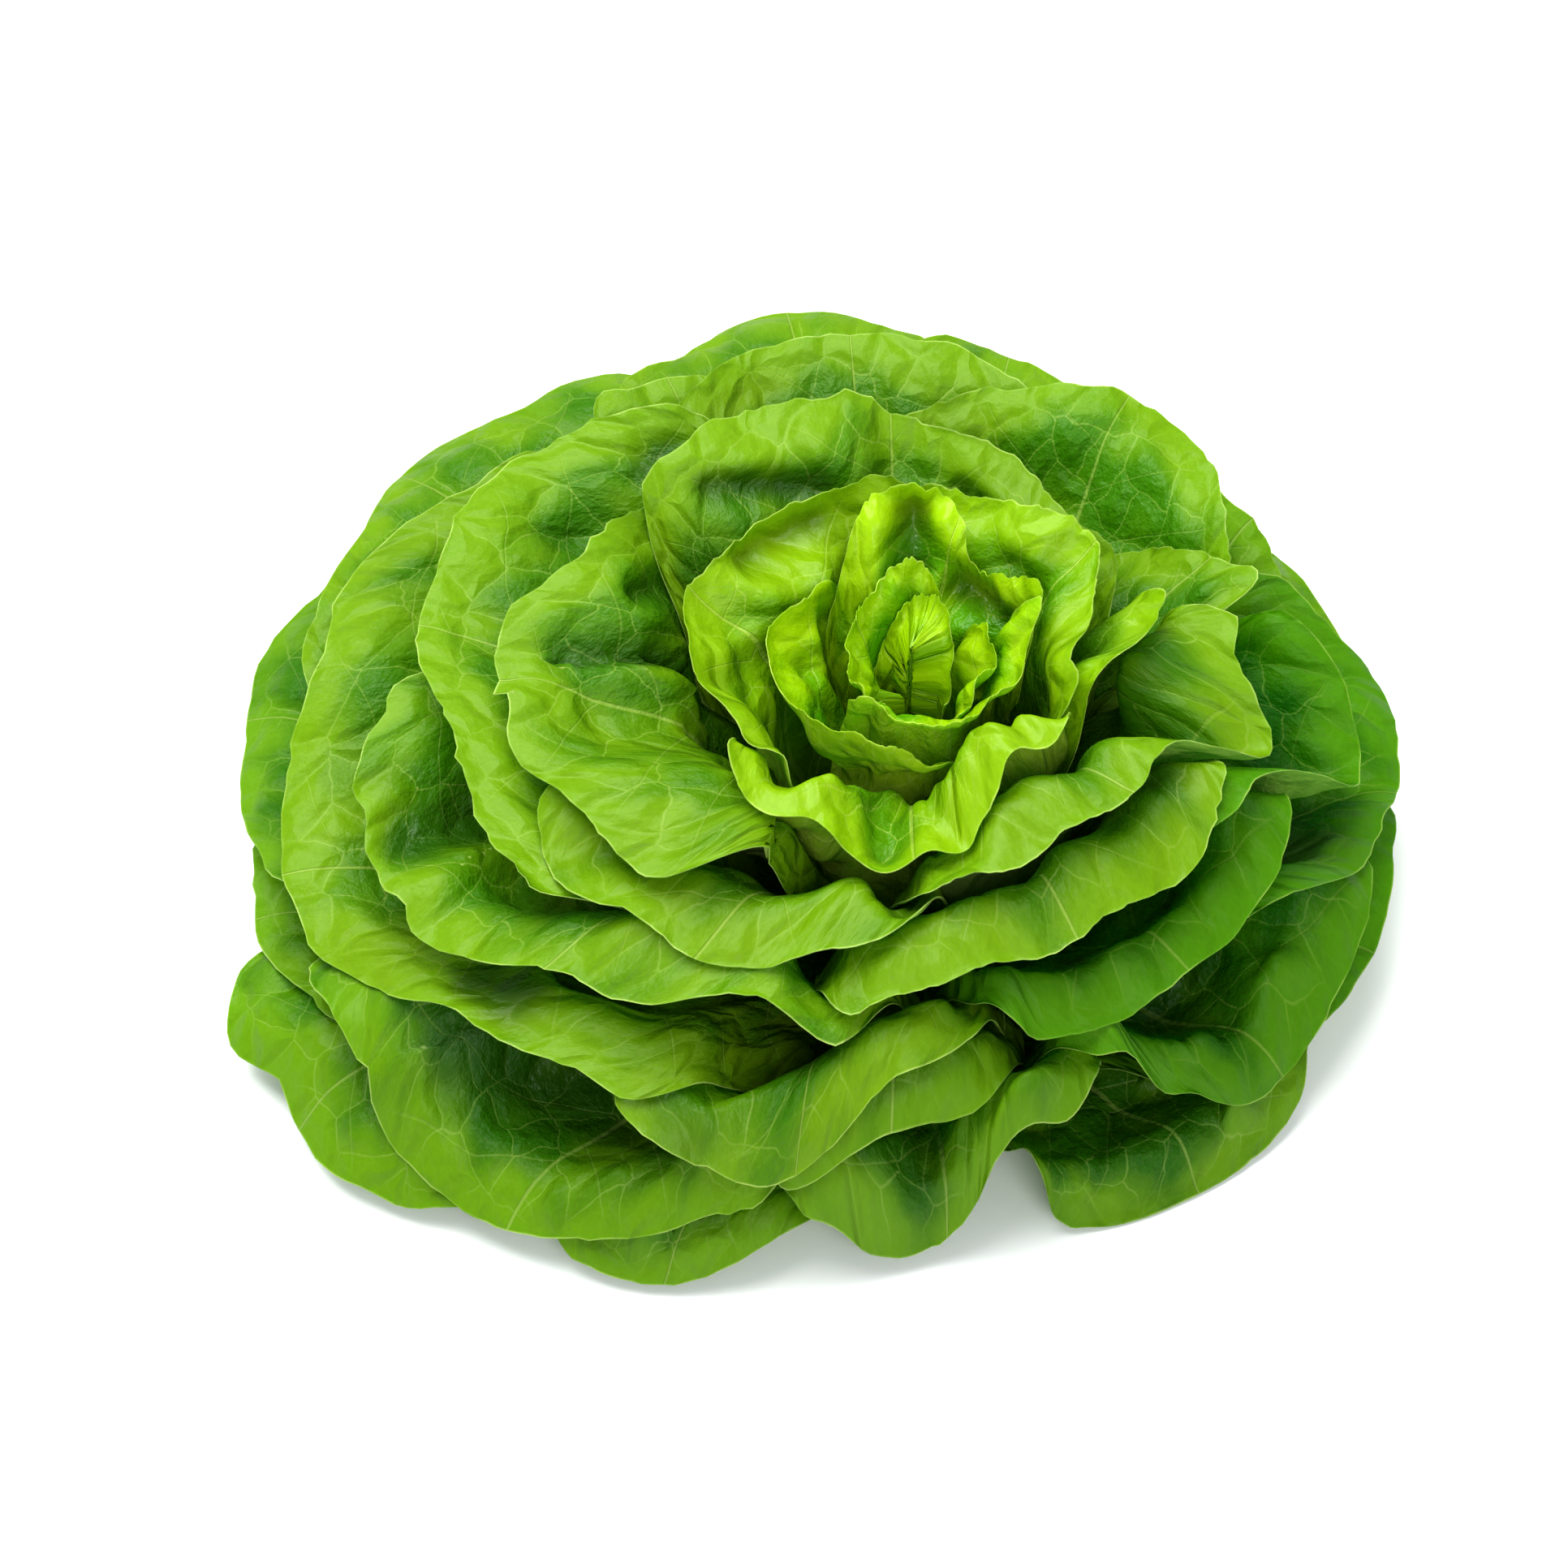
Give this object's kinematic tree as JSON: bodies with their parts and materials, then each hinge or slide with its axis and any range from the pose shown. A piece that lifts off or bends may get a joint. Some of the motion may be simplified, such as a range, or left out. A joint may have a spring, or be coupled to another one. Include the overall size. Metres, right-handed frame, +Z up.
{
  "type": "butterhead lettuce head",
  "caption": "Cut head of butterhead lettuce: loosely nested, broad waved leaves round a folded yellow-green heart, resting on the flat cut face of its stump.",
  "frame": {"origin": "centre of the stump's flat cut face, on the surface the head rests on", "axes": "+Z up along the stump to the growing tip; +X to the right along the head's widest spread; +Y towards its back, where the leaves stand highest"},
  "size_m": [0.2774, 0.2568, 0.1261],
  "materials": {
    "stem_flesh": "moist, matte",
    "heart_leaf": "waxy satin",
    "outer_leaf": "waxy satin"
  },
  "bodies": {
    "root": {"stem": "stem_flesh", "heart_bud": "heart_leaf", "heart_curl": "heart_leaf", "heart_lobe": "heart_leaf", "heart_right": "heart_leaf", "heart_back": "heart_leaf", "heart_left": "heart_leaf", "ring_right": "heart_leaf", "ring_left": "heart_leaf", "ring_front": "heart_leaf", "ring_outer": "heart_leaf", "second_back": "outer_leaf", "second_left": "outer_leaf", "second_right": "outer_leaf", "second_front": "outer_leaf", "third_right": "outer_leaf", "third_left": "outer_leaf", "third_front_right": "outer_leaf", "third_back_right": "outer_leaf", "third_back": "outer_leaf", "third_front_left": "outer_leaf", "fourth_back_left": "outer_leaf", "fourth_right": "outer_leaf", "fourth_front_right": "outer_leaf", "fourth_left": "outer_leaf", "fifth_front": "outer_leaf", "fifth_back_right": "outer_leaf", "fifth_back": "outer_leaf", "fifth_back_left": "outer_leaf", "fifth_right": "outer_leaf", "sixth_front": "outer_leaf", "sixth_front_right": "outer_leaf", "sixth_back_right": "outer_leaf", "sixth_left": "outer_leaf", "sixth_front_left": "outer_leaf", "outer_front": "outer_leaf", "outer_left": "outer_leaf", "outer_right": "outer_leaf", "outer_back_right": "outer_leaf", "outer_back": "outer_leaf", "outer_back_left": "outer_leaf", "ground_front_right": "outer_leaf", "ground_left": "outer_leaf", "ground_front": "outer_leaf"}
  },
  "joints": []
}
